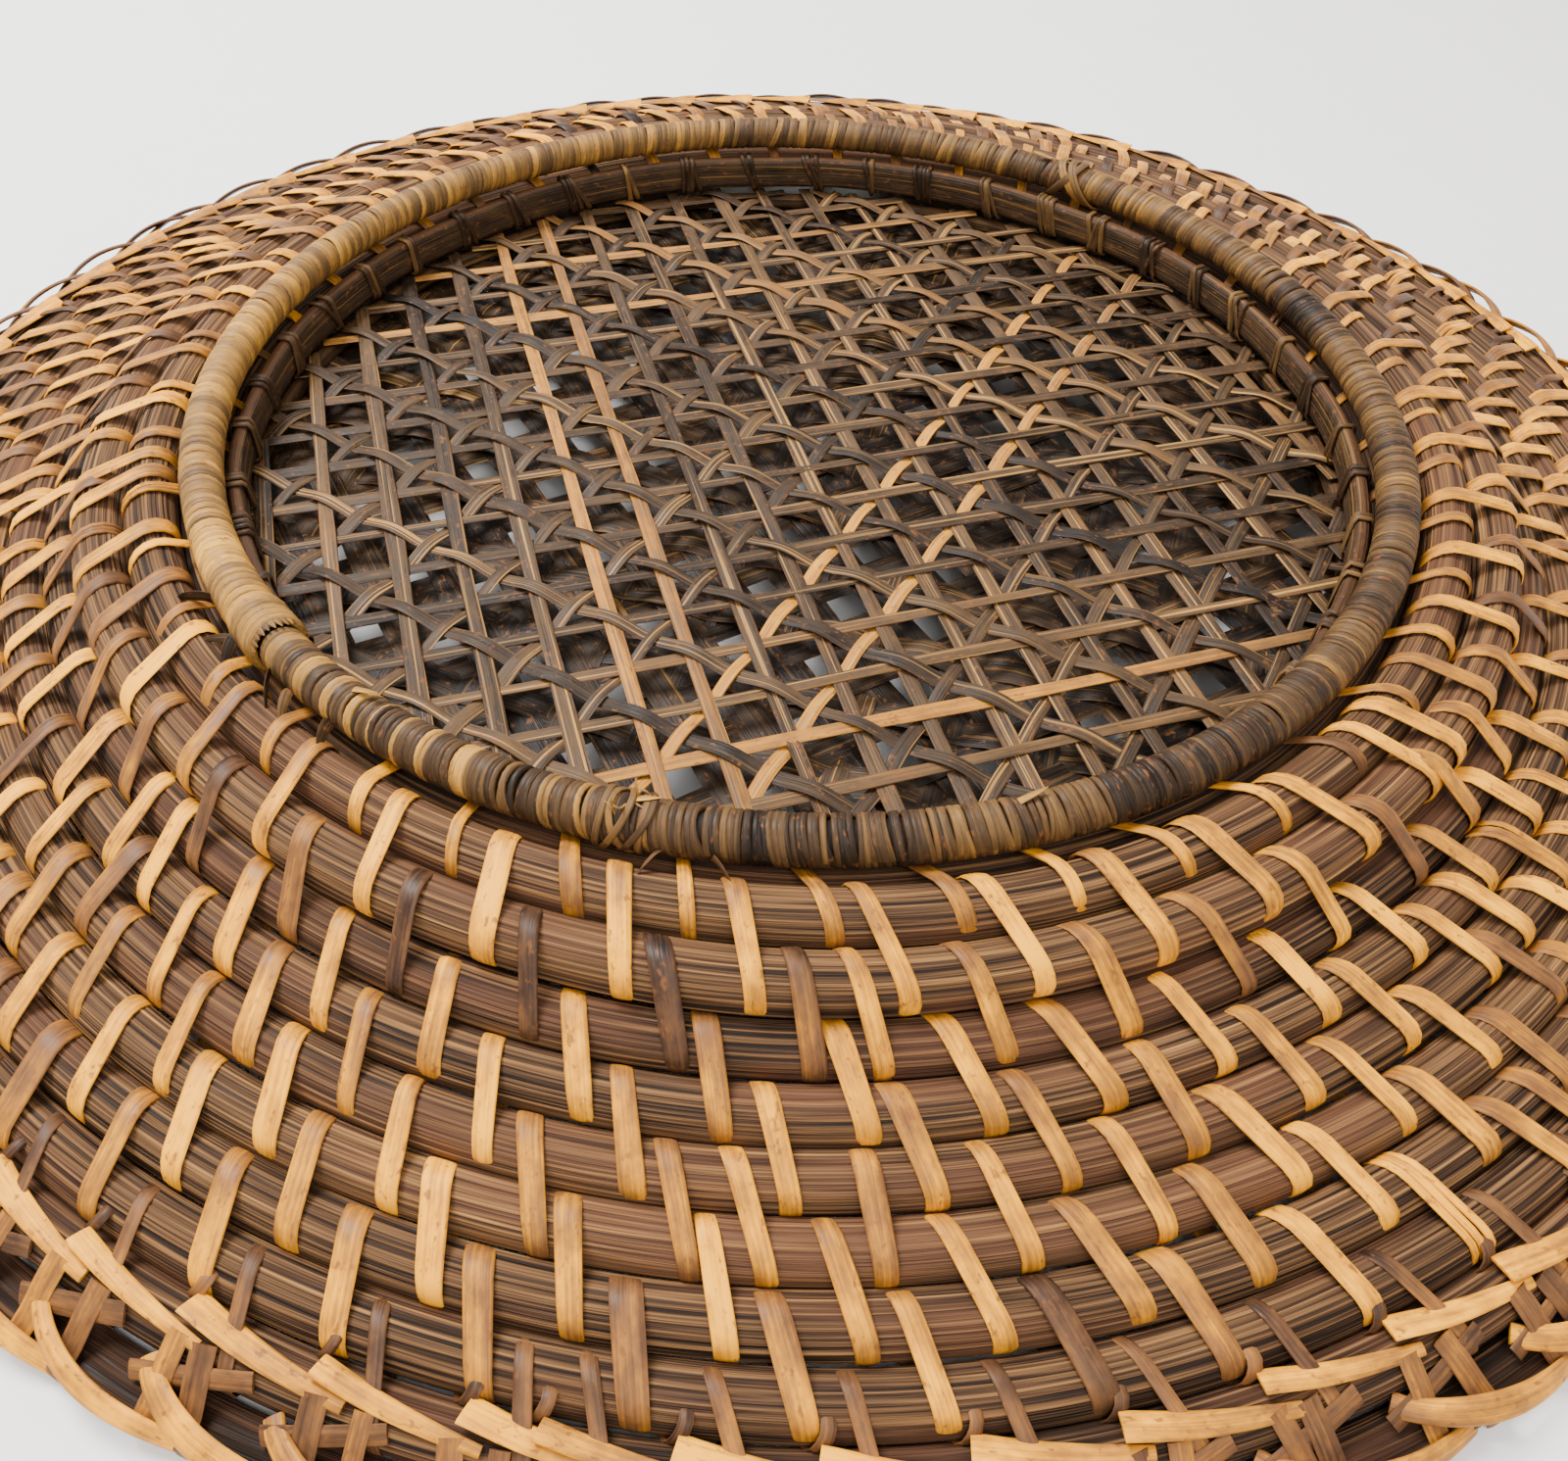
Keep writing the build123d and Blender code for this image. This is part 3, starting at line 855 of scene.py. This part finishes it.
def plain_finish(name, colour, rough):
    """A matt finish with faint clouds."""
    f = Finish(name)
    place = f.node("TexCoord").outputs["Object"]
    noise = f.node("TexNoise", {"Vector": place, "Scale": 40.0, "Detail": 4.0}).outputs[0]
    darker = tuple(0.96 * c for c in colour[:3]) + (1,)
    return f.surface(f.mix(noise, colour, darker), rough, noise, 0.0001)


def place_floor():
    """A pale floor, wide enough to fill the picture."""
    size = 4.0
    mesh = bpy.data.meshes.new("floor")
    corners = [(-size, -size, 0), (size, -size, 0), (size, size, 0), (-size, size, 0)]
    mesh.from_pydata(corners, [], [(0, 1, 2, 3)])
    mesh.materials.append(plain_finish("pale_floor", rgb(240, 238, 236), 0.6))
    floor = bpy.data.objects.new("floor", mesh)
    bpy.context.scene.collection.objects.link(floor)


def area_light(name, place, target, size, power):
    """A round soft light that faces a target."""
    data = bpy.data.lights.new(name, "AREA")
    data.shape, data.size, data.energy = "DISK", size, power
    light = bpy.data.objects.new(name, data)
    light.location = place
    light.rotation_euler = (Vector(target) - Vector(place)).to_track_quat("-Z", "Y").to_euler()
    bpy.context.scene.collection.objects.link(light)


def place_lights():
    """Even, slightly warm light from all round, a key light behind on the left and a weak front light."""
    world = bpy.data.worlds.new("studio")
    world.use_nodes = True
    background = world.node_tree.nodes["Background"]
    background.inputs["Color"].default_value = (1.0, 0.975, 0.945, 1)
    background.inputs["Strength"].default_value = 1.2
    bpy.context.scene.world = world
    area_light("key", (-0.5, 0.35, 1.0), (0, 0, 0), 0.6, 34)
    area_light("front", (0.1, -0.7, 0.9), (0, -0.1, 0), 0.6, 8)


WRAP_STOPS = [
    (0.0, rgb(22, 15, 9)), (0.2, rgb(46, 32, 19)), (0.4, rgb(72, 51, 29)), (0.6, rgb(106, 77, 40)),
    (0.8, rgb(156, 112, 48)), (1.0, rgb(208, 152, 56)),
]
WOVEN_STOPS = [
    (0.0, rgb(21, 15, 11)), (0.2, rgb(56, 41, 27)), (0.4, rgb(86, 63, 38)), (0.6, rgb(126, 84, 40)),
    (0.8, rgb(182, 120, 36)), (1.0, rgb(216, 158, 50)),
]
MATERIALS = {
    "rattan_rod": rod_finish(),
    "stitch_cane": cane_finish("stitch_cane", GOLD, 0.7, 0.38, 0.0001),
    "wrap_cane": cane_finish("wrap_cane", WRAP_STOPS, 0.5, 0.42, 0.0002),
    "woven_cane": cane_finish("woven_cane", WOVEN_STOPS, 0.4, 0.45, 0.0003, pale=0.8),
    "border_cane": cane_finish("border_cane", GOLD, 0.7, 0.42, 0.00015),
    "slat": cane_finish("slat", WRAP_STOPS, 0.5, 0.5, 0.0004, pale=0.4),
}
# the range of most strands' tones, then the tones along the strands that stand out, which are
# named by their distance in mm from the middle of the panel
BASE_TONES = {
    "usual": (0.13, 0.36),
    "upright": {-53.2: (0.55, 0.74, 0.7, 0.52, 0.7, 0.5), -40.5: (0.5, 0.66, 0.5, 0.56, 0.4)},
    "cross": {
        90.7: (0.5, 0.7, 0.6, 0.4), 65.3: (0.3, 0.7, 0.6, 0.3), -87.1: (0.5, 0.74, 0.72, 0.4, 0.3, 0.3),
    },
    "first_diagonal": {71.4: (0.3, 0.52, 0.56, 0.4, 0.3), 53.5: (0.3, 0.5, 0.55, 0.5, 0.3)},
    "second_diagonal": {
        -24.0: (0.7, 0.84, 0.8, 0.66, 0.4, 0.3), -41.9: (0.5, 0.7, 0.74, 0.7, 0.6, 0.3),
    },
}
# the floor web's strands are near black: painted shade of the basket's closed inside
FLOOR_SHADE_TONES = {"usual": (0.0, 0.18)}

place_camera()
place_floor()
place_lights()
for number, node in enumerate(ROD_NODES):
    rod(f"{node}_grained", number)
for number in range(len(RODS) - 1):
    stitches(number)
ring_windings()
ring_splices()
loose_ends()
flat_hoop("base_slat_hoop", 0.26, 0.3, "slat")
flat_hoop("base_spacer_hoop", 0.3, 0.5, "slat")
flat_hoop("floor_hoop", 0.2, 0.7, "slat")
slat_ties()
woven_panel("base_panel", "base_web", BASE_TONES, 1.5 * MM, 9, 600)
# the floor web's strands are widened 2.2 times so that, dark as they are, they close off the bright
# floor: painted shade of the inside
woven_panel("floor_panel", "floor_web", FLOOR_SHADE_TONES, 3 * MM, 5, 601, widen=2.2)
# the edge hoop reaches 2.6 mm further in, in dark rattan, to close the gap to the floor, where there is
# shade: painted shade
flat_hoop("border_edge_hoop", 0.1, 0.9, "rattan_rod", inward=2.6 * MM)
border()
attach(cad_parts["foot_ring_core"], "root")
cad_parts["foot_ring_core"].data.materials.clear()
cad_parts["foot_ring_core"].data.materials.append(MATERIALS["slat"])
